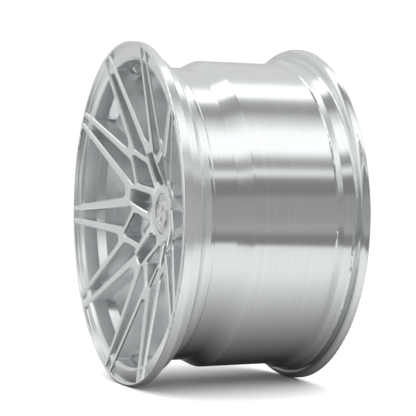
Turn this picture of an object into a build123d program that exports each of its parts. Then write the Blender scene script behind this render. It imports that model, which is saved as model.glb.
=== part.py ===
"""Forged racing wheel rim, 20 x 10.5 J, ten spokes in five branching pairs.

Frame: the wheel axis is Y, the spoked outboard face looks along -Y and +Z is up.
The origin is the rim centre: mid width, on the axis.  Lengths are in millimetres.
A section of a turned piece is drawn in the XY plane as (radius, y) and revolved about Y.
The spoke pattern is drawn in planes that look along +Y, with local x = X and local y = Z.
"""
from build123d import *
from math import atan2, cos, degrees, pi, radians, sin, sqrt, tan
import os

os.makedirs("parts", exist_ok=True)

# ---- rim size ---------------------------------------------------------------
rim_width = 266.7            # between the two bead flanges, 10.5 inch
bead_seat_radius = 254.0     # 20 inch bead seat
bead_taper = 5.0             # degrees
bead_seat_length = 20.0
bead_hump = 1.0
flange_height = 17.5
flange_thickness = 14.35
wall = 5.0                   # barrel and drop centre wall
drop_centre_depth = 20.5     # below the bead seat
drop_centre_width = 48.35
barrel_depth = 8.0           # barrel outside radius below the bead seat
barrel_ramp = 24.0           # length of the ramp from the drop centre up to the barrel
hump_foot = 6.0              # length of the ramp from the barrel to the inboard hump
well_ramp = 12.0             # length of the ramp from the outboard hump to the drop centre
flange_curl = 9.5
flange_lip = 4.0
flange_root = 5.0            # inside of the inboard flange beyond the bead seat
flange_edge_fillet = 1.5
ramp_fillet = 4.0
seat_extra_wall = 2.0        # the inboard seat is thicker than the barrel
inside_shift = 1.0           # inside corners of the ramp sit this far inboard of the outside ones

# ---- outboard lip -----------------------------------------------------------
lip_bead_width = 4.5         # raised round bead on the lip's outer edge
lip_pad_depth = 6.5          # flat pads below the lip's front plane
lip_face_width = 28.5        # from the lip's outer edge to the windows
lip_inner_draft = 2.0
lip_inner_depth = 26.0
lip_pad_chamfer = 4.5
lip_bead_round = 2.1
lip_bead_foot = 1.0          # bevel where the bead stands on the pads
seat_fillet = 6.0            # where the bead seats meet the flanges

# ---- centre, front side -----------------------------------------------------
hub_length = 55.0            # from the mounting face to the hub collar's front
collar_radius = 45.0
spoke_step = 0.9             # spoke faces below the lip's front plane, where they meet the bead
spoke_root_in_bead = 1.5     # the spokes run this far into the bead
spoke_root_depth = 4.0       # and this far into the rim behind it
cone_inner_radius = 110.0
cone_inner_depth = 42.819    # spoke faces below the lip's front plane, at that radius
hub_curve_drop = 5.6         # the dish's extra depth at the middle of its curved part

# ---- centre, back side ------------------------------------------------------
mount_setback = 121.7        # mounting face behind the wheel's front edge
pad_overhang = 19.0          # mounting pad beyond the lug circle
pad_thickness = 34.0
spoke_depth_rim = 25.0       # spoke depth along the axis, at the rim
spoke_depth_web = 31.0       # and at the branching webs
web_foot_rise = 6.0          # back of the webs forward of the pad's front, half way to the pad
pad_edge_rise = 2.0          # and at the pad's edge
web_radius = 112.0
hub_bore_radius = 41.0
hub_bore_length = 34.0
pad_relief_depth = 5.0
pad_relief_radius = 12.2

# ---- spoke pattern ----------------------------------------------------------
sectors = 5
pattern_angle = 17.4         # direction of one lug spoke pair
lug_window_tip = 96.0        # sharp tip radius of the wide V window
lug_window_half_angle = 23.8
lug_window_tip_fillet = 13.0
mid_window_tip = 123.0       # sharp tip radius of the V window between lug pairs
mid_window_half_angle = 24.6
mid_window_tip_fillet = 10.0
window_outer_gap = 1.0       # windows run this far into the lip's inner wall
window_outer_fillet = 7.0
corner_block_width = 14.0    # radial reach of the windows' round corners
corner_step = 2.5            # round corners start this far below the spoke faces
spoke_width_rim = 11.3
lug_spoke_width_root = 16.5
lug_spoke_root_reach = 119.0
mid_spoke_width_root = 14.0
mid_spoke_root_reach = 140.0
slot_root_fillet = 5.0
slot_tip_fillet = 4.2
diamond_outer = 120.0
diamond_middle = 79.0
diamond_half_width = 27.0
diamond_collar_gap = 5.0     # between the diamond pockets and the hub collar
diamond_fillet = 4.0
link_width = 10.0
pocket_outer = 97.0
pocket_outer_half_width = 11.5
pocket_collar_gap = 4.0
pocket_inner_half_width = 15.4
pocket_fillet = 5.0
edge_chamfer = 2.0

# ---- lug holes --------------------------------------------------------------
lug_circle_radius = 60.0     # 120 mm pitch circle
lug_well_radius = 14.4
lug_floor_thickness = 24.0   # between the wells' floor and the mounting face
lug_hole_radius = 7.5
insert_radius = 12.0
insert_length = 16.0
insert_cone_depth = 5.0
insert_cone_radius = 10.7
insert_chamfer = 0.8

# ---- joint of centre and barrel ---------------------------------------------
joint_distance = 11.35       # from the ramp to the joint
spigot_length = 6.0
spigot_step = 2.5
spigot_clearance = 0.05
weld_half_width = 3.0
weld_depth = 3.0
weld_crown = 0.8
weld_tool_rise = 1.2

# ---- centre cap -------------------------------------------------------------
cap_overlap = 1.5            # cap's rim beyond its bore
cap_recess_clearance = 0.5
cap_recess_depth = 4.0
cap_flange_thickness = 3.0
cap_dome = 1.6
cap_bore_radius = 31.5
cap_fit_clearance = 0.35
cap_skirt_wall = 2.2
cap_skirt_length = 14.0
cap_leg_count = 8
cap_leg_gap = 4.0
cap_seat_gap = 0.4
cap_ceiling_thickness = 1.0  # cap's web behind the recess plane
cap_legs_start = 5.0         # uncut length at the root of the spring legs
cap_border = 12.0            # between the emblem and the cap's edge
cap_bezel = 2.5              # raised ring round the emblem
cap_groove = 2.5             # shallow groove outside it
cap_groove_side = 1.0
cap_groove_depth = 0.4
cap_edge_slope = 1.5
cap_edge_drop = 0.8
cap_edge_rise = 0.2
emblem_thickness = 1.8
emblem_relief = 0.6
emblem_band = 2.0            # width of the raised ring and of the rays
emblem_edge = 1.0
emblem_pad_thickness = 0.6
emblem_recess_wall = 0.3
o_ring_section = 1.0
o_ring_place = 2.4           # behind the recess floor
wire_section = 0.7
wire_place = 3.0             # from the legs' ends
wire_arc = 345

# ---- hub ring ---------------------------------------------------------------
hub_radius = 36.3            # the vehicle hub's spigot
hub_ring_length = 10.0
hub_ring_chamfer = 1.5

# ---- valve ------------------------------------------------------------------
valve_sector = 1             # spoke sector the valve stands in, from pattern_angle on
valve_reach = 0.5            # place along the ramp, 0 at the hump and 1 at the drop centre
valve_stem_radius = 4.0
valve_spot_depth = 0.5
valve_spot_margin = 1.2      # spot face beyond the valve's head
valve_head_width = 2.05      # head beyond the hole
valve_head_thickness = 2.6
valve_head_chamfer = 0.8
grommet_wall = 1.75
grommet_thickness = 2.4
grommet_chamfer = 0.6
grommet_gap = 1.0            # grommet stops short of the washer
washer_thickness = 1.2
nut_thickness = 5.0
nut_across_flats = 13.0
valve_thread_depth = 0.14    # thread's crest below the stem
valve_neck_depth = 0.6
valve_neck_start = 9.0       # from the mouth
valve_neck_ramp = 0.4
valve_neck_length = 1.0
valve_mouth_chamfer = 0.5
valve_length = 24.0          # from the ramp's outside to the mouth
valve_bore_radius = 2.6
valve_throat_radius = 1.4
valve_throat_ramp = 1.2
core_length = 9.0
core_head = 3.0              # threaded head of the core
gasket_depth = 0.4
gasket_place = 1.0
gasket_length = 1.2
core_depth = 0.8             # core's top below the stem's mouth
core_clearance = 0.05
core_wall = 0.9
pin_radius = 0.5
pin_clearance = 0.06
pin_travel = 1.2
pin_rise = 0.3               # pin's tip above the core
pin_foot_thickness = 0.5
pin_foot_margin = 0.6
pin_seat_gap = 0.1
pin_end_clearance = 0.9
cup_seal_thickness = 0.8
spring_wire = 0.2
spring_turns = 5
cap_thread_length = 6.0
valve_cap_clearance = 0.35
valve_cap_wall = 1.3
valve_cap_top = 1.4
valve_cap_flutes = 12
flute_radius = 0.8
flute_offset = 0.5
crown_height = 0.6
crown_taper = 30
valve_cap_seal_thickness = 0.8

# ---- worked out -------------------------------------------------------------
half_width = rim_width / 2
flange_radius = bead_seat_radius + flange_height
lip_inner_radius = flange_radius - lip_face_width
front_y = -(half_width + flange_thickness)
back_y = -front_y
lip_bead_radius = flange_radius - lip_bead_width
pad_y = front_y + lip_pad_depth
cone_slope = (cone_inner_depth - spoke_step) / (lip_bead_radius - cone_inner_radius)
drop_radius = bead_seat_radius - drop_centre_depth
barrel_radius = bead_seat_radius - barrel_depth
seat_fall = bead_seat_length * tan(radians(bead_taper))
hump_radius = bead_seat_radius - seat_fall + bead_hump
hump_y = half_width - bead_seat_length
mount_face_y = front_y + mount_setback
hub_face_y = mount_face_y - hub_length
pad_front_y = mount_face_y - pad_thickness
pad_radius = lug_circle_radius + pad_overhang
lug_floor_y = mount_face_y - lug_floor_thickness
diamond_inner = collar_radius + diamond_collar_gap
pocket_inner = collar_radius + pocket_collar_gap
window_radius = lip_inner_radius + window_outer_gap
sector_angle = 360 / sectors
half_sector = sector_angle / 2
valve_angle = pattern_angle + valve_sector * sector_angle
outboard_hump_end = -hump_y + 2 * bead_hump
ramp_start = (hump_radius - bead_hump, outboard_hump_end)
ramp_end = (drop_radius, outboard_hump_end + well_ramp)
joint_y = ramp_end[1] + joint_distance
drop_centre_end = ramp_end[1] + drop_centre_width
barrel_start = drop_centre_end + barrel_ramp
cap_radius = cap_bore_radius + cap_overlap
emblem_radius = cap_radius - cap_border
valve_hole_radius = valve_stem_radius + grommet_wall
valve_head_radius = valve_hole_radius + valve_head_width
valve_spot_radius = valve_head_radius + valve_spot_margin
valve_thread_radius = valve_stem_radius - valve_thread_depth
valve_chamber_depth = (
    pin_seat_gap + cup_seal_thickness + pin_foot_thickness + pin_travel + pin_end_clearance
)
disc_radius = lip_bead_radius + spoke_root_in_bead
tool_margin = 10             # cutting sketches stand this far outside what they cut
front_plane = Plane.XZ.offset(-front_y + tool_margin)
cut_depth = 400              # goes right through
same_place = 0.1             # two points this close are the same corner


def cone_y(radius):
    """Y of the straight part of the spoke faces."""
    return front_y + spoke_step + cone_slope * (lip_bead_radius - radius)


def depth_to(y):
    """Depth of a cut from the front plane to a given Y."""
    return y - front_y + tool_margin


def polar(radius, angle):
    """Point in the face plane."""
    return (radius * cos(radians(angle)), radius * sin(radians(angle)))


def turned(point, angle):
    """Point of a sector's own frame, turned about the axis."""
    return polar(sqrt(point[0] ** 2 + point[1] ** 2), degrees(atan2(point[1], point[0])) + angle)


def meet(point_a, direction_a, point_b, direction_b):
    """Where two lines meet, each given by a point and a direction."""
    cross = direction_a[0] * direction_b[1] - direction_a[1] * direction_b[0]
    gap = (point_b[0] - point_a[0], point_b[1] - point_a[1])
    along = (gap[0] * direction_b[1] - gap[1] * direction_b[0]) / cross
    return (point_a[0] + along * direction_a[0], point_a[1] + along * direction_a[1])


def slot_side(tip, half_angle, root_reach, width_root, width_rim):
    """Far edge of the spoke beside a V window: a point near the hub and one at the lip."""
    slope = tan(radians(half_angle))
    normal = (-sin(radians(half_angle)), cos(radians(half_angle)))
    rim_reach = tip + (window_radius - tip) * cos(radians(half_angle))
    root = (root_reach + normal[0] * width_root, (root_reach - tip) * slope + normal[1] * width_root)
    rim = (rim_reach + normal[0] * width_rim, (rim_reach - tip) * slope + normal[1] * width_rim)
    return root, rim


def v_outline(tip, half_angle):
    """Triangle of a V window, longer than the wheel."""
    reach = 2 * flange_radius
    rise = (reach - tip) * tan(radians(half_angle))
    return [(tip, 0), (reach, rise), (reach, -rise)]


def slot_outline():
    """Narrow window inside a spoke pair, longer than the wheel, on the side of positive angle."""
    root_a, rim_a = slot_side(
        lug_window_tip, lug_window_half_angle, lug_spoke_root_reach, lug_spoke_width_root, spoke_width_rim
    )
    root_m, rim_m = slot_side(
        mid_window_tip, mid_window_half_angle, mid_spoke_root_reach, mid_spoke_width_root, spoke_width_rim
    )
    root_b = turned((root_m[0], -root_m[1]), half_sector)
    rim_b = turned((rim_m[0], -rim_m[1]), half_sector)
    corner = turned((diamond_outer, 0), half_sector)
    side = turned((diamond_middle, -diamond_half_width), half_sector)
    link = (side[0] - corner[0], side[1] - corner[1])
    length = sqrt(link[0] ** 2 + link[1] ** 2)
    offset = (-link[1] / length * link_width, link[0] / length * link_width)
    if offset[0] * corner[0] + offset[1] * corner[1] < 0:
        offset = (-offset[0], -offset[1])
    edge = (corner[0] + offset[0], corner[1] + offset[1])
    run_a = (rim_a[0] - root_a[0], rim_a[1] - root_a[1])
    run_b = (rim_b[0] - root_b[0], rim_b[1] - root_b[1])
    inner_a = meet(root_a, run_a, edge, link)
    inner_b = meet(root_b, run_b, edge, link)
    outer_a = (rim_a[0] + run_a[0], rim_a[1] + run_a[1])
    outer_b = (rim_b[0] + run_b[0], rim_b[1] + run_b[1])
    return [inner_a, outer_a, outer_b, inner_b]


def trimmed_window(outline, outer_radius, root_fillet, outer_fillet):
    """Window outline cut off by a circle at its outer end, whose two corners are round or sharp."""
    with BuildSketch() as window:
        Circle(outer_radius)
        Polygon(*outline, align=None, mode=Mode.INTERSECT)
        corners = window.vertices().sort_by(lambda v: v.center().length)
        fillet(corners[:-2], root_fillet)
        if outer_fillet > 0:
            outer = window.vertices().sort_by(lambda v: v.center().length)[-2:]
            fillet(outer, outer_fillet)
    return window.sketch


def mirrored_pair(shape):
    """Shape and its mirror image about a sector's centre line."""
    with BuildSketch() as both:
        add(shape)
        mirror(about=Plane.XZ)
    return both.sketch


def rounded_outline(points, corner):
    """Closed outline with equal round corners."""
    with BuildSketch() as shape:
        with BuildLine():
            FilletPolyline(*points, radius=corner, close=True)
        make_face()
    return shape.sketch


def pattern(outer_radius, outer_fillet):
    """V windows and narrow windows, all round, up to outer_radius."""
    wide = trimmed_window(
        v_outline(lug_window_tip, lug_window_half_angle), outer_radius, lug_window_tip_fillet, outer_fillet
    )
    middle = trimmed_window(
        v_outline(mid_window_tip, mid_window_half_angle), outer_radius, mid_window_tip_fillet, outer_fillet
    )
    slots = mirrored_pair(
        trimmed_window(slot_outline(), outer_radius, slot_root_fillet, min(slot_tip_fillet, outer_fillet))
    )
    with BuildSketch() as windows:
        with PolarLocations(0, sectors, start_angle=pattern_angle):
            add(wide)
            add(slots)
        with PolarLocations(0, sectors, start_angle=pattern_angle + half_sector):
            add(middle)
    return windows.sketch


def finish(shape, name):
    """Label a piece and write it."""
    shape.label = name
    export_step(shape, f"parts/{name}.step")


def weld_triangle():
    """Section of the weld's groove, a little above the drop centre's surface."""
    top_radius = drop_radius + weld_tool_rise
    top_half_width = weld_half_width * (1 + weld_tool_rise / weld_depth)
    return [
        (drop_radius - weld_depth, joint_y),
        (top_radius, joint_y + top_half_width),
        (top_radius, joint_y - top_half_width),
    ]


# the valve stands square on the ramp between the outboard hump and the drop centre
ramp_run = (ramp_end[0] - ramp_start[0], ramp_end[1] - ramp_start[1])
ramp_length = sqrt(ramp_run[0] ** 2 + ramp_run[1] ** 2)
valve_radial = -ramp_run[1] / ramp_length
valve_axial = ramp_run[0] / ramp_length
valve_foot_radius = ramp_start[0] + valve_reach * ramp_run[0]
valve_foot_y = ramp_start[1] + valve_reach * ramp_run[1]
valve_cos = cos(radians(valve_angle))
valve_sin = sin(radians(valve_angle))
valve_foot = Vector(valve_foot_radius * valve_cos, valve_foot_y, valve_foot_radius * valve_sin)
valve_direction = Vector(valve_radial * valve_cos, valve_axial, valve_radial * valve_sin)
valve_side = Vector(-valve_sin, 0, valve_cos)
valve_plane = Plane(origin=valve_foot, x_dir=valve_side, z_dir=valve_direction)
valve_section = Plane(origin=valve_foot, x_dir=valve_side, z_dir=valve_side.cross(valve_direction))
valve_line = Axis(valve_foot, valve_direction)


# ---- wheel centre: hub, spokes, outboard lip, bead seat ----------------------
diamond = rounded_outline(
    [
        (diamond_outer, 0),
        (diamond_middle, diamond_half_width),
        (diamond_inner, 0),
        (diamond_middle, -diamond_half_width),
    ],
    diamond_fillet,
)
lug_pocket = rounded_outline(
    [
        (pocket_outer, pocket_outer_half_width),
        (pocket_inner, pocket_inner_half_width),
        (pocket_inner, -pocket_inner_half_width),
        (pocket_outer, -pocket_outer_half_width),
    ],
    pocket_fillet,
)
rim_spoke_y = cone_y(lip_inner_radius) + spoke_depth_rim
web_back_y = cone_y(web_radius) + spoke_depth_web
dish_start = (collar_radius, hub_face_y)
dish_end = (cone_inner_radius, cone_y(cone_inner_radius))
dish_middle = (
    (dish_start[0] + dish_end[0]) / 2,
    (dish_start[1] + dish_end[1]) / 2 - hub_curve_drop / 2,
)

# round corners of the windows, from just below the spokes' front edges to their back
corner_inner = window_radius - corner_block_width
corner_outer = lip_inner_radius + lip_pad_chamfer / 2
with BuildPart() as window_corners:
    with BuildSketch(Plane.XY):
        Polygon(
            (corner_inner, cone_y(corner_inner) + corner_step),
            (corner_outer, cone_y(corner_outer) + corner_step),
            (corner_outer, rim_spoke_y - corner_step),
            (corner_inner, rim_spoke_y - corner_step),
            align=None,
        )
    revolve(axis=Axis.Y)
    with BuildSketch(front_plane):
        add(pattern(window_radius, window_outer_fillet))
    extrude(amount=-cut_depth, mode=Mode.SUBTRACT)

with BuildPart() as wheel_centre:
    # dished disc that the spokes are cut from
    with BuildSketch(Plane.XY):
        with BuildLine():
            Polyline((0, hub_face_y), dish_start)
            ThreePointArc(dish_start, dish_middle, dish_end)
            Polyline(
                dish_end,
                (disc_radius, cone_y(disc_radius)),
                (disc_radius, pad_y + spoke_root_depth),
                (lip_inner_radius + spoke_root_depth, pad_y + spoke_root_depth),
                (lip_inner_radius + spoke_root_depth, rim_spoke_y),
                (lip_inner_radius, rim_spoke_y),
                (web_radius, web_back_y),
                ((pad_radius + web_radius) / 2, pad_front_y - web_foot_rise),
                (pad_radius, pad_front_y - pad_edge_rise),
                (pad_radius, mount_face_y),
                (0, mount_face_y),
                (0, hub_face_y),
            )
        make_face()
    revolve(axis=Axis.Y)
    with BuildSketch(front_plane):
        add(pattern(disc_radius + tool_margin, 0))
    extrude(amount=-cut_depth, mode=Mode.SUBTRACT)
    with BuildSketch(front_plane):
        with PolarLocations(0, sectors, start_angle=pattern_angle + half_sector):
            add(diamond)
        with PolarLocations(0, sectors, start_angle=pattern_angle):
            add(lug_pocket)
    extrude(amount=-depth_to(pad_front_y), mode=Mode.SUBTRACT)
    # sharp front edges of the windows are broken with a chamfer
    spoke_faces = wheel_centre.faces().filter_by(
        lambda f: f.geom_type not in (GeomType.PLANE, GeomType.CYLINDER) and f.normal_at().Y < 0
    )
    window_edges = ShapeList()
    for face in spoke_faces:
        window_edges += face.edges().filter_by(
            lambda e: e.geom_type != GeomType.CIRCLE or abs(e.arc_center.X) + abs(e.arc_center.Z) > 1
        )
    chamfer(window_edges, edge_chamfer)

    # rim: lip, bead flange, bead seat and the ramp down to the drop centre
    with BuildSketch(Plane.XY) as lip_section:
        with BuildLine():
            Polyline(
                (lip_inner_radius + lip_pad_chamfer, pad_y),
                (lip_bead_radius - lip_bead_foot, pad_y),
                (lip_bead_radius, pad_y - lip_bead_foot),
                (lip_bead_radius, front_y),
                (flange_radius, front_y),
                (flange_radius, -half_width),
                (bead_seat_radius, -half_width),
                (bead_seat_radius - seat_fall, -hump_y),
                (hump_radius, -hump_y + bead_hump),
                ramp_start,
                ramp_end,
                (drop_radius, joint_y),
                (drop_radius - wall + spigot_step, joint_y),
                (drop_radius - wall + spigot_step, joint_y + spigot_length),
                (drop_radius - wall, joint_y + spigot_length),
                (drop_radius - wall, ramp_end[1] - wall / 2),
                (lip_inner_radius - lip_inner_draft, outboard_hump_end - wall / 2),
                (lip_inner_radius - lip_inner_draft, front_y + lip_inner_depth + lip_pad_depth),
                (lip_inner_radius, pad_y + lip_pad_chamfer),
                (lip_inner_radius + lip_pad_chamfer, pad_y),
            )
        make_face()
        crest = lip_section.vertices().filter_by(lambda v: abs(v.Y - front_y) < same_place)
        fillet(crest, lip_bead_round)
        seat_corner = lip_section.vertices().filter_by(
            lambda v: abs(v.X - bead_seat_radius) + abs(v.Y + half_width) < same_place
        )
        fillet(seat_corner, seat_fillet)
    revolve(axis=Axis.Y)
    add(window_corners.part)
    # hub bore from the back, cap bore and cap recess from the front
    with BuildSketch(Plane.XZ.offset(-mount_face_y)):
        Circle(hub_bore_radius)
    extrude(amount=hub_bore_length, mode=Mode.SUBTRACT)
    with BuildSketch(front_plane):
        Circle(cap_bore_radius)
    extrude(amount=-cut_depth, mode=Mode.SUBTRACT)
    with BuildSketch(front_plane):
        Circle(cap_radius + cap_recess_clearance)
    extrude(amount=-depth_to(hub_face_y + cap_recess_depth), mode=Mode.SUBTRACT)
    # lug wells, insert seats and lug holes
    with BuildSketch(front_plane):
        with PolarLocations(lug_circle_radius, sectors, start_angle=pattern_angle):
            Circle(lug_well_radius)
    extrude(amount=-depth_to(lug_floor_y), mode=Mode.SUBTRACT)
    with BuildSketch(front_plane):
        with PolarLocations(lug_circle_radius, sectors, start_angle=pattern_angle):
            Circle(insert_radius)
    extrude(amount=-depth_to(lug_floor_y + insert_length), mode=Mode.SUBTRACT)
    with BuildSketch(front_plane):
        with PolarLocations(lug_circle_radius, sectors, start_angle=pattern_angle):
            Circle(lug_hole_radius)
    extrude(amount=-cut_depth, mode=Mode.SUBTRACT)
    # relief pockets in the mounting pad between the lug holes
    with BuildSketch(Plane.XZ.offset(-mount_face_y)):
        with PolarLocations(lug_circle_radius, sectors, start_angle=pattern_angle + half_sector):
            Circle(pad_relief_radius)
    extrude(amount=pad_relief_depth, mode=Mode.SUBTRACT)
    # groove for half of the weld, and the hole and spot faces for the valve
    with BuildSketch(Plane.XY):
        Polygon(*weld_triangle(), align=None)
    revolve(axis=Axis.Y, mode=Mode.SUBTRACT)
    with BuildSketch(valve_plane):
        Circle(valve_hole_radius)
    extrude(amount=3 * wall, both=True, mode=Mode.SUBTRACT)
    with BuildSketch(valve_plane.offset(valve_spot_depth)):
        Circle(valve_spot_radius)
    extrude(amount=-2 * wall, mode=Mode.SUBTRACT)
    with BuildSketch(valve_plane.offset(wall - valve_spot_depth)):
        Circle(valve_spot_radius)
    extrude(amount=2 * wall, mode=Mode.SUBTRACT)
finish(wheel_centre.part, "wheel_centre")

# ---- barrel: drop centre, barrel wall, inboard bead seat and flange -----------
socket_radius = drop_radius - wall + spigot_step + spigot_clearance
with BuildPart() as barrel:
    with BuildSketch(Plane.XY) as barrel_section:
        with BuildLine():
            Polyline(
                (drop_radius, joint_y),
                (drop_radius, drop_centre_end),
                (barrel_radius, barrel_start),
                (barrel_radius, hump_y - 2 * bead_hump - hump_foot),
                (hump_radius - bead_hump, hump_y - 2 * bead_hump),
                (hump_radius, hump_y - bead_hump),
                (bead_seat_radius - seat_fall, hump_y),
                (bead_seat_radius, half_width),
                (flange_radius - flange_curl, half_width),
            )
            ThreePointArc(
                (flange_radius - flange_curl, half_width),
                (
                    flange_radius - flange_curl + flange_curl * sin(pi / 4),
                    half_width + flange_curl * (1 - cos(pi / 4)),
                ),
                (flange_radius, half_width + flange_curl),
            )
            Polyline(
                (flange_radius, half_width + flange_curl),
                (flange_radius, back_y),
                (flange_radius - flange_lip, back_y),
                (flange_radius - flange_curl - flange_lip, half_width + flange_root),
                (bead_seat_radius - wall - seat_extra_wall, half_width + flange_root),
                (barrel_radius - wall, hump_y - hump_foot),
                (barrel_radius - wall, barrel_start + inside_shift),
                (drop_radius - wall, drop_centre_end + inside_shift),
                (drop_radius - wall, joint_y + spigot_length + spigot_clearance),
                (socket_radius, joint_y + spigot_length + spigot_clearance),
                (socket_radius, joint_y),
                (drop_radius, joint_y),
            )
        make_face()
        seat_corner = barrel_section.vertices().filter_by(
            lambda v: abs(v.X - bead_seat_radius) + abs(v.Y - half_width) < same_place
        )
        fillet(seat_corner, seat_fillet)
        ramps = barrel_section.vertices().filter_by(
            lambda v: drop_centre_end - 1 < v.Y < hump_y - hump_foot + 1
        )
        fillet(ramps, ramp_fillet)
        outer_edge = barrel_section.vertices().filter_by(lambda v: v.Y > back_y - same_place)
        fillet(outer_edge, flange_edge_fillet)
    revolve(axis=Axis.Y)
    with BuildSketch(Plane.XY):
        Polygon(*weld_triangle(), align=None)
    revolve(axis=Axis.Y, mode=Mode.SUBTRACT)
finish(barrel.part, "barrel")

# ---- weld bead that joins them ------------------------------------------------
with BuildPart() as barrel_weld:
    with BuildSketch(Plane.XY):
        with BuildLine():
            Polyline(
                (drop_radius, joint_y + weld_half_width),
                (drop_radius - weld_depth, joint_y),
                (drop_radius, joint_y - weld_half_width),
            )
            ThreePointArc(
                (drop_radius, joint_y - weld_half_width),
                (drop_radius + weld_crown, joint_y),
                (drop_radius, joint_y + weld_half_width),
            )
        make_face()
    revolve(axis=Axis.Y)
finish(barrel_weld.part, "barrel_weld")

# ---- lug seats ----------------------------------------------------------------
with BuildPart() as lug_seat_inserts:
    with BuildSketch(Plane.XZ.offset(-lug_floor_y)):
        with PolarLocations(lug_circle_radius, sectors, start_angle=pattern_angle):
            Circle(insert_radius)
            Circle(lug_hole_radius, mode=Mode.SUBTRACT)
    extrude(amount=-insert_length)
    with PolarLocations(lug_circle_radius, sectors, start_angle=pattern_angle) as seats:
        seat_places = [place.position for place in seats.locations]
    for place in seat_places:
        with BuildSketch(Plane(origin=(place.X, lug_floor_y, place.Y), z_dir=(0, 1, 0))):
            Circle(insert_cone_radius)
        cone_foot = (place.X, lug_floor_y + insert_cone_depth, place.Y)
        with BuildSketch(Plane(origin=cone_foot, z_dir=(0, 1, 0))):
            Circle(lug_hole_radius)
        loft(mode=Mode.SUBTRACT)
    chamfer(
        lug_seat_inserts.edges().filter_by(GeomType.CIRCLE).filter_by(
            lambda e: abs(e.radius - insert_radius) < same_place
        ),
        insert_chamfer,
    )
finish(lug_seat_inserts.part, "lug_seat_inserts")

# ---- hub centring ring ---------------------------------------------------------
with BuildPart() as hub_centric_ring:
    with BuildSketch(Plane.XY):
        with BuildLine():
            Polyline(
                (hub_radius + hub_ring_chamfer, mount_face_y),
                (hub_bore_radius, mount_face_y),
                (hub_bore_radius, mount_face_y - hub_ring_length),
                (hub_radius, mount_face_y - hub_ring_length),
                (hub_radius, mount_face_y - hub_ring_chamfer),
                (hub_radius + hub_ring_chamfer, mount_face_y),
            )
        make_face()
    revolve(axis=Axis.Y)
finish(hub_centric_ring.part, "hub_centric_ring")

# ---- centre cap ----------------------------------------------------------------
cap_seat_y = hub_face_y + cap_recess_depth
cap_front_y = cap_seat_y - cap_seat_gap - cap_flange_thickness
skirt_radius = cap_bore_radius - cap_fit_clearance
skirt_end_y = cap_seat_y + cap_skirt_length
emblem_back_y = cap_front_y + cap_dome
bezel_y = cap_front_y - cap_dome / 2
groove_y = cap_front_y + cap_groove_depth
groove_start = emblem_radius + cap_bezel
groove_end = groove_start + cap_groove_side + cap_groove
o_ring_centre = (skirt_radius - o_ring_section / 2, cap_seat_y + o_ring_place)
wire_centre = (skirt_radius - cap_skirt_wall, skirt_end_y - wire_place)
with BuildPart() as cap_body:
    with BuildSketch(Plane.XY) as cap_section:
        with BuildLine():
            Polyline(
                (0, emblem_back_y),
                (emblem_radius + emblem_recess_wall, emblem_back_y),
                (emblem_radius + emblem_recess_wall, bezel_y),
                (groove_start, bezel_y),
                (groove_start + cap_groove_side, groove_y),
                (groove_end, groove_y),
                (groove_end + cap_groove_side, bezel_y),
                (cap_radius - cap_edge_slope, cap_front_y - cap_edge_rise),
                (cap_radius, cap_front_y + cap_edge_drop),
                (cap_radius, cap_seat_y - cap_seat_gap),
                (skirt_radius, cap_seat_y - cap_seat_gap),
                (skirt_radius, skirt_end_y),
                (skirt_radius - cap_skirt_wall, skirt_end_y),
                (skirt_radius - cap_skirt_wall, cap_seat_y + cap_ceiling_thickness),
                (0, cap_seat_y + cap_ceiling_thickness),
                (0, emblem_back_y),
            )
        make_face()
    revolve(axis=Axis.Y)
    # slots part the skirt into spring legs
    with BuildSketch(Plane.XZ.offset(-skirt_end_y)):
        with PolarLocations(skirt_radius, cap_leg_count, start_angle=pattern_angle):
            Rectangle(4 * cap_skirt_wall, cap_leg_gap)
    extrude(amount=cap_skirt_length - cap_legs_start, mode=Mode.SUBTRACT)
    # grooves for the O ring outside and the wire ring inside
    with BuildSketch(Plane.XY):
        with Locations(o_ring_centre):
            Rectangle(2 * o_ring_section, 2 * o_ring_section)
    revolve(axis=Axis.Y, mode=Mode.SUBTRACT)
    with BuildSketch(Plane.XY):
        with Locations(wire_centre):
            Circle(wire_section)
    revolve(axis=Axis.Y, mode=Mode.SUBTRACT)
finish(cap_body.part, "cap_body")

with BuildPart() as cap_o_ring:
    with BuildSketch(Plane.XY):
        with Locations(o_ring_centre):
            Circle(o_ring_section / 2)
    revolve(axis=Axis.Y)
finish(cap_o_ring.part, "cap_o_ring")

with BuildPart() as cap_retaining_ring:
    with BuildSketch(Plane.XY):
        with Locations(wire_centre):
            Circle(wire_section)
    revolve(axis=Axis.Y, revolution_arc=wire_arc)
finish(cap_retaining_ring.part, "cap_retaining_ring")

with BuildPart() as cap_emblem_pad:
    with BuildSketch(Plane.XZ.offset(-emblem_back_y)):
        Circle(emblem_radius - emblem_edge)
    extrude(amount=emblem_pad_thickness)
finish(cap_emblem_pad.part, "cap_emblem_pad")

with BuildPart() as cap_emblem:
    with BuildSketch(Plane.XZ.offset(-emblem_back_y + emblem_pad_thickness)):
        Circle(emblem_radius)
    extrude(amount=emblem_thickness)
    # plain ring and rays, raised
    with BuildSketch(Plane.XZ.offset(-emblem_back_y + emblem_pad_thickness + emblem_thickness)):
        Circle(emblem_radius - emblem_edge)
        Circle(emblem_radius - emblem_edge - emblem_band, mode=Mode.SUBTRACT)
        with PolarLocations(emblem_radius / 2 - emblem_edge, 2 * sectors, start_angle=pattern_angle):
            SlotOverall(emblem_radius / 2, emblem_band)
    extrude(amount=emblem_relief)
finish(cap_emblem.part, "cap_emblem")

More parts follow.
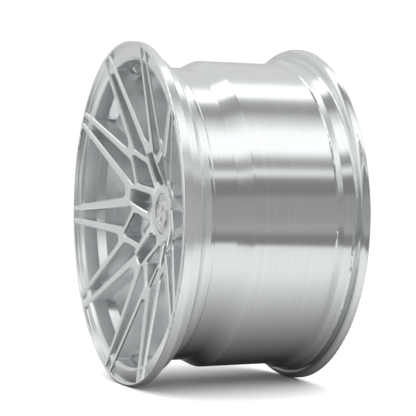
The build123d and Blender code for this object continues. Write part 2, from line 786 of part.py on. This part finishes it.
# ---- valve ----------------------------------------------------------------------
inner_spot = wall - valve_spot_depth
head_top = valve_spot_depth - grommet_thickness
head_bottom = head_top - valve_head_thickness
core_top = valve_length - core_depth
core_bottom = core_top - core_length
core_head_foot = core_top - core_head
pin_top = core_top + pin_rise
neck_start = valve_length - valve_neck_start
neck_radius = valve_thread_radius - valve_neck_depth
neck_end = neck_start + valve_neck_ramp + valve_neck_length
chamber_floor = core_bottom - valve_chamber_depth
core_radius = valve_bore_radius - core_clearance
core_inner_radius = valve_bore_radius - core_wall
gasket_radius = valve_bore_radius - gasket_depth
gasket_foot = core_bottom + gasket_place
gasket_top = gasket_foot + gasket_length


def turned_on_valve(points):
    """Piece turned about the valve's axis, from its half section (radius, height)."""
    with BuildPart() as piece:
        with BuildSketch(valve_section):
            Polygon(*points, align=None)
        revolve(axis=valve_line)
    return piece.part


with BuildPart() as valve_stem:
    add(
        turned_on_valve(
            [
                (valve_throat_radius, head_bottom),
                (valve_head_radius - valve_head_chamfer, head_bottom),
                (valve_head_radius, head_bottom + valve_head_chamfer),
                (valve_head_radius, head_top),
                (valve_stem_radius, head_top),
                (valve_stem_radius, neck_start),
                (neck_radius, neck_start + valve_neck_ramp),
                (neck_radius, neck_end),
                (valve_thread_radius, neck_end + valve_neck_ramp),
                (valve_thread_radius, valve_length - valve_mouth_chamfer),
                (valve_thread_radius - valve_mouth_chamfer, valve_length),
                (valve_bore_radius, valve_length),
                (valve_bore_radius, chamber_floor),
                (valve_throat_radius, chamber_floor - valve_throat_ramp),
            ]
        )
    )
finish(valve_stem.part, "valve_stem")

with BuildPart() as valve_grommet:
    add(
        turned_on_valve(
            [
                (valve_stem_radius, head_top),
                (valve_head_radius - grommet_chamfer / 2, head_top),
                (valve_head_radius, head_top + grommet_chamfer),
                (valve_head_radius, valve_spot_depth),
                (valve_hole_radius, valve_spot_depth),
                (valve_hole_radius, inner_spot - grommet_gap),
                (valve_stem_radius, inner_spot - grommet_gap),
            ]
        )
    )
finish(valve_grommet.part, "valve_grommet")

with BuildPart() as valve_washer:
    add(
        turned_on_valve(
            [
                (valve_stem_radius, inner_spot),
                (valve_head_radius, inner_spot),
                (valve_head_radius, inner_spot + washer_thickness),
                (valve_stem_radius, inner_spot + washer_thickness),
            ]
        )
    )
finish(valve_washer.part, "valve_washer")

with BuildPart() as valve_nut:
    with BuildSketch(valve_plane.offset(inner_spot + washer_thickness)):
        RegularPolygon(nut_across_flats / 2, 6, major_radius=False)
        Circle(valve_stem_radius, mode=Mode.SUBTRACT)
    extrude(amount=nut_thickness)
finish(valve_nut.part, "valve_nut")

with BuildPart() as valve_core_body:
    add(
        turned_on_valve(
            [
                (pin_radius + pin_clearance, core_head_foot),
                (core_radius, core_head_foot),
                (core_radius, core_top),
                (pin_radius + pin_clearance, core_top),
            ]
        )
    )
    add(
        turned_on_valve(
            [
                (core_inner_radius, core_bottom),
                (core_radius, core_bottom),
                (core_radius, gasket_foot),
                (gasket_radius, gasket_foot),
                (gasket_radius, gasket_top),
                (core_radius, gasket_top),
                (core_radius, core_head_foot),
                (core_inner_radius, core_head_foot),
            ]
        )
    )
finish(valve_core_body.part, "valve_core_body")

with BuildPart() as valve_core_gasket:
    add(
        turned_on_valve(
            [
                (gasket_radius, gasket_foot),
                (valve_bore_radius, gasket_foot),
                (valve_bore_radius, gasket_top),
                (gasket_radius, gasket_top),
            ]
        )
    )
finish(valve_core_gasket.part, "valve_core_gasket")

cup_top = core_bottom - pin_seat_gap
cup_foot = cup_top - cup_seal_thickness
pin_foot_radius = core_inner_radius - pin_foot_margin
with BuildPart() as valve_core_pin:
    add(
        turned_on_valve(
            [
                (0, cup_foot - pin_foot_thickness),
                (pin_foot_radius, cup_foot - pin_foot_thickness),
                (pin_foot_radius, cup_foot),
                (pin_radius, cup_foot),
                (pin_radius, pin_top),
                (0, pin_top),
            ]
        )
    )
finish(valve_core_pin.part, "valve_core_pin")

with BuildPart() as valve_core_cup_seal:
    add(
        turned_on_valve(
            [
                (pin_radius, cup_foot),
                (core_inner_radius, cup_foot),
                (core_inner_radius, cup_top),
                (pin_radius, cup_top),
            ]
        )
    )
finish(valve_core_cup_seal.part, "valve_core_cup_seal")

spring_radius = (pin_radius + core_inner_radius) / 2
spring_foot = core_bottom + 2 * spring_wire
spring_length = core_length - core_head - 4 * spring_wire
spring_base = valve_foot + valve_direction * spring_foot
with BuildPart() as valve_core_spring:
    with BuildLine():
        coil = Helix(
            pitch=spring_length / spring_turns,
            height=spring_length,
            radius=spring_radius,
            center=spring_base,
            direction=valve_direction,
        )
    with BuildSketch(Plane(origin=coil @ 0, z_dir=coil % 0)):
        Circle(spring_wire)
    sweep(path=coil, is_frenet=True)
finish(valve_core_spring.part, "valve_core_spring")

cap_inner = valve_thread_radius + valve_cap_clearance
cap_bottom = valve_length - cap_thread_length
cap_ceiling = valve_length + valve_cap_clearance + valve_cap_seal_thickness
with BuildPart() as valve_cap:
    with BuildSketch(valve_plane.offset(cap_bottom)):
        Circle(cap_inner + valve_cap_wall)
        with PolarLocations(cap_inner + valve_cap_wall + flute_offset, valve_cap_flutes):
            Circle(flute_radius, mode=Mode.SUBTRACT)
    extrude(amount=cap_ceiling + valve_cap_top - cap_bottom)
    with BuildSketch(valve_plane.offset(cap_bottom)):
        Circle(cap_inner)
    extrude(amount=cap_ceiling - cap_bottom, mode=Mode.SUBTRACT)
    with BuildSketch(valve_plane.offset(cap_ceiling + valve_cap_top)):
        Circle(cap_inner)
    extrude(amount=crown_height, taper=crown_taper)
finish(valve_cap.part, "valve_cap")

with BuildPart() as valve_cap_seal:
    with BuildSketch(valve_plane.offset(cap_ceiling)):
        Circle(cap_inner - valve_cap_clearance)
    extrude(amount=-valve_cap_seal_thickness)
finish(valve_cap_seal.part, "valve_cap_seal")
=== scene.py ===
"""Studio view of a forged racing wheel rim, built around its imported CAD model.

The wheel axis is Y, the spoked face looks along -Y and +Z is up.  Lengths are in metres.
"""

import math

import bpy
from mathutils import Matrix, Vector


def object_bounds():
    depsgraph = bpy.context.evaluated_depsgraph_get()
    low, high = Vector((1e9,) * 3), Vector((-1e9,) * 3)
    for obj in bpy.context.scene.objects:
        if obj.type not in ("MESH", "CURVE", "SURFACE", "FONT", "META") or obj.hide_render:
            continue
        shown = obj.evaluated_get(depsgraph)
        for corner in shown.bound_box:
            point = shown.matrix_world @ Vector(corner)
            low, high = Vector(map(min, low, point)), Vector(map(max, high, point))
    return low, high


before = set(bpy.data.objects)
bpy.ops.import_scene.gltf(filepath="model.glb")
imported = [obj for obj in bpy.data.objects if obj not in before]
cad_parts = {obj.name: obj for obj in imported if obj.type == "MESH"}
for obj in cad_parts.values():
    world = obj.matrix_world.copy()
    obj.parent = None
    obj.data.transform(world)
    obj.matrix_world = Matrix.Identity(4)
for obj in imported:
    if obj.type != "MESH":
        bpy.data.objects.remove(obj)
cad_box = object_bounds()

# ---- camera -------------------------------------------------------------------
CAMERA_AZIMUTH = math.radians(67.58)
CAMERA_ELEVATION = math.radians(0.2)
CAMERA_DISTANCE = 2.1335
CAMERA_LENS = 113.6
SENSOR_WIDTH = 36.0
FRAME_SHIFT = (-0.0015, 0.0138)
NEAR_CLIP = 0.05

# ---- studio: panels as seen around the wheel axis, 0 at +X and 90 overhead ------
# (start angle, end angle, brightness); between two panels the brightness runs straight across
PANELS = [
    (-176, -120, 0.62),
    (-100, -26, 0.20),
    (-24, -15, 0.24),
    (-14, -7, 0.40),
    (-6, 12, 0.34),
    (15, 26.5, 0.22),
    (28.5, 32, 1.0),
    (34, 40, 0.31),
    (46, 63, 1.2),
    (72, 74, 0.75),
    (80, 94, 0.30),
    (95.5, 110.5, 1.50),
    (112, 146, 0.72),
    (152, 180, 0.62),
]
DIFFUSE_LIGHT = 2.1          # even light on matt surfaces, from all round
BACKDROP = 1.05
WHITE = (1, 1, 1, 1)
FLOOR_RADIUS = 0.82
FLOOR_SIDES = 96
FLOOR_COLOUR = (0.93, 0.93, 0.93, 1)
FLOOR_PAINTED_SHADOW = 0.02     # painted shadow: glow of the floor in the metal below the wheel axis
FLOOR_PAINTED_REFLECTION = 0.9         # painted reflection: glow of the floor in the metal to either side
FLOOR_PAINTED_SHADOW_REACH = 0.45     # distance to either side over which the painted shadow fades into the painted reflection


class Nodes:
    """Short names for building a node tree."""

    def __init__(self, tree):
        self.tree = tree
        tree.nodes.clear()

    def new(self, kind, **settings):
        node = self.tree.nodes.new(kind)
        for key, value in settings.items():
            setattr(node, key, value)
        return node

    def link(self, source, target):
        self.tree.links.new(source, target)

    def math(self, operation, first, second=None, third=None):
        node = self.new("ShaderNodeMath", operation=operation)
        for slot, value in zip(node.inputs, (first, second, third)):
            if value is None:
                continue
            if isinstance(value, (int, float)):
                slot.default_value = value
            else:
                self.link(value, slot)
        return node.outputs[0]


def make_camera():
    """Camera close to level with the wheel's middle, aimed at the origin."""
    data = bpy.data.cameras.new("camera")
    data.lens = CAMERA_LENS
    data.sensor_width = SENSOR_WIDTH
    data.shift_x, data.shift_y = FRAME_SHIFT
    data.clip_start = NEAR_CLIP
    camera = bpy.data.objects.new("camera", data)
    bpy.context.scene.collection.objects.link(camera)
    level = CAMERA_DISTANCE * math.cos(CAMERA_ELEVATION)
    camera.location = (
        level * math.sin(CAMERA_AZIMUTH),
        -level * math.cos(CAMERA_AZIMUTH),
        CAMERA_DISTANCE * math.sin(CAMERA_ELEVATION),
    )
    camera.rotation_euler = (-Vector(camera.location)).to_track_quat("-Z", "Y").to_euler()
    bpy.context.scene.camera = camera


def panel_ramp(ramp):
    """Fill a colour ramp with the panels, over a whole turn from -180 to 180 degrees."""
    ramp.interpolation = "LINEAR"
    stops = []
    for start, end, brightness in PANELS:
        stops.append((start, brightness))
        stops.append((end, brightness))
    elements = ramp.elements
    while len(elements) > 1:
        elements.remove(elements[-1])
    elements[0].position = 0.0
    elements[0].color = (PANELS[-1][2],) * 3 + (1,)
    for angle, brightness in stops:
        element = elements.new((angle + 180) / 360)
        element.color = (brightness,) * 3 + (1,)


def make_world():
    """White to the camera, even light to matt surfaces, and the panels to all other rays."""
    world = bpy.data.worlds.new("studio")
    bpy.context.scene.world = world
    world.use_nodes = True
    n = Nodes(world.node_tree)
    direction = n.new("ShaderNodeTexCoord").outputs["Generated"]
    parts = n.new("ShaderNodeSeparateXYZ")
    n.link(direction, parts.inputs[0])
    angle = n.math("ARCTAN2", parts.outputs["Z"], parts.outputs["X"])
    turn = n.math("MULTIPLY_ADD", angle, 0.5 / math.pi, 0.5)
    ramp = n.new("ShaderNodeValToRGB")
    panel_ramp(ramp.color_ramp)
    n.link(turn, ramp.inputs[0])
    path = n.new("ShaderNodeLightPath")
    panels = n.new("ShaderNodeBackground")
    n.link(ramp.outputs["Color"], panels.inputs["Color"])
    soft = n.new("ShaderNodeBackground")
    soft.inputs["Strength"].default_value = DIFFUSE_LIGHT
    soft.inputs["Color"].default_value = WHITE
    backdrop = n.new("ShaderNodeBackground")
    backdrop.inputs["Color"].default_value = WHITE
    backdrop.inputs["Strength"].default_value = BACKDROP
    lit = n.new("ShaderNodeMixShader")
    n.link(path.outputs["Is Diffuse Ray"], lit.inputs[0])
    n.link(panels.outputs[0], lit.inputs[1])
    n.link(soft.outputs[0], lit.inputs[2])
    seen = n.new("ShaderNodeMixShader")
    n.link(path.outputs["Is Camera Ray"], seen.inputs[0])
    n.link(lit.outputs[0], seen.inputs[1])
    n.link(backdrop.outputs[0], seen.inputs[2])
    output = n.new("ShaderNodeOutputWorld")
    n.link(seen.outputs[0], output.inputs["Surface"])


def make_floor():
    """Pale disc that matt surfaces and the camera see lit; to metal it glows as a painted
    reflection, with a painted shadow under the wheel.
    """
    low = cad_box[0][2]
    ring = [math.tau * k / FLOOR_SIDES for k in range(FLOOR_SIDES)]
    corners = [(FLOOR_RADIUS * math.cos(a), FLOOR_RADIUS * math.sin(a), low) for a in ring]
    mesh = bpy.data.meshes.new("floor")
    mesh.from_pydata(corners, [], [tuple(range(FLOOR_SIDES))])
    floor = bpy.data.objects.new("floor", mesh)
    bpy.context.scene.collection.objects.link(floor)
    material = bpy.data.materials.new("floor_white")
    material.use_nodes = True
    n = Nodes(material.node_tree)
    shader = n.new("ShaderNodeBsdfDiffuse")
    shader.inputs["Color"].default_value = FLOOR_COLOUR
    parts = n.new("ShaderNodeSeparateXYZ")
    n.link(n.new("ShaderNodeTexCoord").outputs["Object"], parts.inputs[0])
    beside = n.math("ABSOLUTE", parts.outputs["X"])
    # painted shadow: the floor's glow in the metal falls almost to nothing near X = 0, under the
    # wheel
    painted_shadow = n.new("ShaderNodeMapRange", interpolation_type="SMOOTHSTEP")
    n.link(beside, painted_shadow.inputs["Value"])
    painted_shadow.inputs["From Max"].default_value = FLOOR_PAINTED_SHADOW_REACH
    painted_shadow.inputs["To Min"].default_value = FLOOR_PAINTED_SHADOW
    painted_shadow.inputs["To Max"].default_value = FLOOR_PAINTED_REFLECTION
    # emission that only glossy rays see: a painted reflection of the floor, which is no lamp
    painted_reflection = n.new("ShaderNodeEmission")
    n.link(painted_shadow.outputs[0], painted_reflection.inputs["Strength"])
    path = n.new("ShaderNodeLightPath")
    mix = n.new("ShaderNodeMixShader")
    n.link(path.outputs["Is Glossy Ray"], mix.inputs[0])
    n.link(shader.outputs[0], mix.inputs[1])
    n.link(painted_reflection.outputs[0], mix.inputs[2])
    output = n.new("ShaderNodeOutputMaterial")
    n.link(mix.outputs[0], output.inputs["Surface"])
    mesh.materials.append(material)


# ---- materials ------------------------------------------------------------------
LINE_DETAIL = 4.0
LINE_ROUGHNESS = 0.6
LINE_DRIFT = 2.5             # how fast the turned lines change along them
METAL_RELIEF = 0.2
ACROSS_THE_LINES = 0.25      # quarter turn: highlights stretch across the brushed lines
GRAIN_DETAIL = 3.0
GRAIN_GLOSS = 0.1            # roughness goes this far up and down with the grain
GRAIN_TONE = 0.2
GRAIN_RELIEF = 0.3


def metal(name, colour, roughness, streak, depth, anisotropy=0.0, spread=0.06, radial=True,
          satin=0.0, contrast=0.06):
    """Turned or brushed metal, with fine lines in gloss, tone and relief.

    streak is how many lines there are to a metre, and depth is their relief in metres.  They run
    round the wheel axis if radial is true, and are an even grain if it is false.  spread and
    contrast say how far gloss and tone go up and down.  satin is the share of the surface that
    scatters light like paint.
    """
    material = bpy.data.materials.new(name)
    material.use_nodes = True
    n = Nodes(material.node_tree)
    place = n.new("ShaderNodeTexCoord").outputs["Object"]
    if radial:
        parts = n.new("ShaderNodeSeparateXYZ")
        n.link(place, parts.inputs[0])
        square_x = n.math("MULTIPLY", parts.outputs["X"], parts.outputs["X"])
        square = n.math("MULTIPLY_ADD", parts.outputs["Z"], parts.outputs["Z"], square_x)
        radius = n.math("SQRT", square)
        along = n.math("MULTIPLY", parts.outputs["Y"], streak)
        across = n.math("MULTIPLY", radius, streak)
        lines = n.new("ShaderNodeCombineXYZ")
        n.link(across, lines.inputs[0])
        n.link(along, lines.inputs[1])
        n.link(n.math("MULTIPLY", parts.outputs["Z"], LINE_DRIFT), lines.inputs[2])
        vector = lines.outputs[0]
    else:
        scaled = n.new("ShaderNodeVectorMath", operation="SCALE")
        n.link(place, scaled.inputs[0])
        scaled.inputs["Scale"].default_value = streak
        vector = scaled.outputs[0]
    noise = n.new("ShaderNodeTexNoise")
    noise.inputs["Scale"].default_value = 1.0
    noise.inputs["Detail"].default_value = LINE_DETAIL
    noise.inputs["Roughness"].default_value = LINE_ROUGHNESS
    n.link(vector, noise.inputs["Vector"])
    value = noise.outputs["Fac"]
    shader = n.new("ShaderNodeBsdfPrincipled")
    shader.inputs["Metallic"].default_value = 1.0 - satin
    shader.inputs["Anisotropic"].default_value = anisotropy
    rough = n.math("MULTIPLY_ADD", value, 2 * spread, roughness - spread)
    n.link(rough, shader.inputs["Roughness"])
    tone = n.new("ShaderNodeMix", data_type="RGBA")
    n.link(value, tone.inputs["Factor"])
    dark = tuple(c * (1 - contrast) for c in colour)
    light = tuple(min(1.0, c * (1 + contrast)) for c in colour)
    tone.inputs["A"].default_value = (*dark, 1)
    tone.inputs["B"].default_value = (*light, 1)
    n.link(tone.outputs["Result"], shader.inputs["Base Color"])
    bump = n.new("ShaderNodeBump")
    bump.inputs["Strength"].default_value = METAL_RELIEF
    bump.inputs["Distance"].default_value = depth
    n.link(value, bump.inputs["Height"])
    n.link(bump.outputs[0], shader.inputs["Normal"])
    if anisotropy:
        shader.inputs["Anisotropic Rotation"].default_value = ACROSS_THE_LINES
        tangent = n.new("ShaderNodeTangent", direction_type="RADIAL", axis="Y")
        n.link(tangent.outputs[0], shader.inputs["Tangent"])
    output = n.new("ShaderNodeOutputMaterial")
    n.link(shader.outputs[0], output.inputs["Surface"])
    return material


def soft_solid(name, colour, roughness, grain, depth):
    """Rubber, foam or moulded plastic, with an even grain in gloss, tone and relief."""
    material = bpy.data.materials.new(name)
    material.use_nodes = True
    n = Nodes(material.node_tree)
    place = n.new("ShaderNodeTexCoord").outputs["Object"]
    noise = n.new("ShaderNodeTexNoise")
    noise.inputs["Scale"].default_value = grain
    noise.inputs["Detail"].default_value = GRAIN_DETAIL
    n.link(place, noise.inputs["Vector"])
    shader = n.new("ShaderNodeBsdfPrincipled")
    rough = n.math("MULTIPLY_ADD", noise.outputs["Fac"], 2 * GRAIN_GLOSS, roughness - GRAIN_GLOSS)
    n.link(rough, shader.inputs["Roughness"])
    tone = n.new("ShaderNodeMix", data_type="RGBA")
    n.link(noise.outputs["Fac"], tone.inputs["Factor"])
    tone.inputs["A"].default_value = (*[c * (1 - GRAIN_TONE) for c in colour], 1)
    tone.inputs["B"].default_value = (*[c * (1 + GRAIN_TONE) for c in colour], 1)
    n.link(tone.outputs["Result"], shader.inputs["Base Color"])
    bump = n.new("ShaderNodeBump")
    bump.inputs["Strength"].default_value = GRAIN_RELIEF
    bump.inputs["Distance"].default_value = depth
    n.link(noise.outputs["Fac"], bump.inputs["Height"])
    n.link(bump.outputs[0], shader.inputs["Normal"])
    output = n.new("ShaderNodeOutputMaterial")
    n.link(shader.outputs[0], output.inputs["Surface"])
    return material


def dress(material, *names):
    """Give CAD nodes a material."""
    for name in names:
        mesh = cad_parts[name].data
        mesh.materials.clear()
        mesh.materials.append(material)


SILVER = (0.845, 0.865, 0.87)
CAP_GREY = (0.78, 0.79, 0.80)
EMBLEM_BRIGHT = (0.88, 0.88, 0.88)
STEEL = (0.62, 0.62, 0.63)
ALUMINIUM = (0.75, 0.76, 0.77)
BRASS = (0.80, 0.62, 0.30)
RUBBER = (0.03, 0.03, 0.03)
POLYMER = (0.05, 0.05, 0.055)

make_camera()
make_world()
make_floor()
bpy.context.scene.view_settings.view_transform = "Standard"

dress(metal("barrel_brushed", SILVER, roughness=0.21, streak=1400.0, depth=0.00001,
            anisotropy=0.96, contrast=0.12, spread=0.03),
      "barrel", "barrel_weld")
dress(metal("centre_machined", SILVER, roughness=0.24, streak=1600.0, depth=0.000004,
            spread=0.03, satin=0.09),
      "wheel_centre")
dress(metal("cap_paint", CAP_GREY, roughness=0.3, streak=1500.0, depth=0.00001), "cap_body")
dress(metal("emblem_polish", EMBLEM_BRIGHT, roughness=0.15, streak=2500.0, depth=0.00001),
      "cap_emblem")
dress(metal("seat_steel", STEEL, roughness=0.3, streak=2000.0, depth=0.00001),
      "lug_seat_inserts", "cap_retaining_ring", "valve_core_spring")
dress(metal("valve_aluminium", ALUMINIUM, roughness=0.28, streak=1200.0, depth=0.00001,
            radial=False),
      "valve_stem", "valve_nut", "valve_washer", "valve_cap")
dress(metal("core_brass", BRASS, roughness=0.28, streak=1500.0, depth=0.00001, radial=False),
      "valve_core_body", "valve_core_pin")
dress(soft_solid("seal_rubber", RUBBER, roughness=0.6, grain=900.0, depth=0.00005),
      "cap_o_ring", "valve_grommet", "valve_core_gasket", "valve_core_cup_seal",
      "valve_cap_seal", "cap_emblem_pad")
dress(soft_solid("ring_polymer", POLYMER, roughness=0.45, grain=700.0, depth=0.00003),
      "hub_centric_ring")
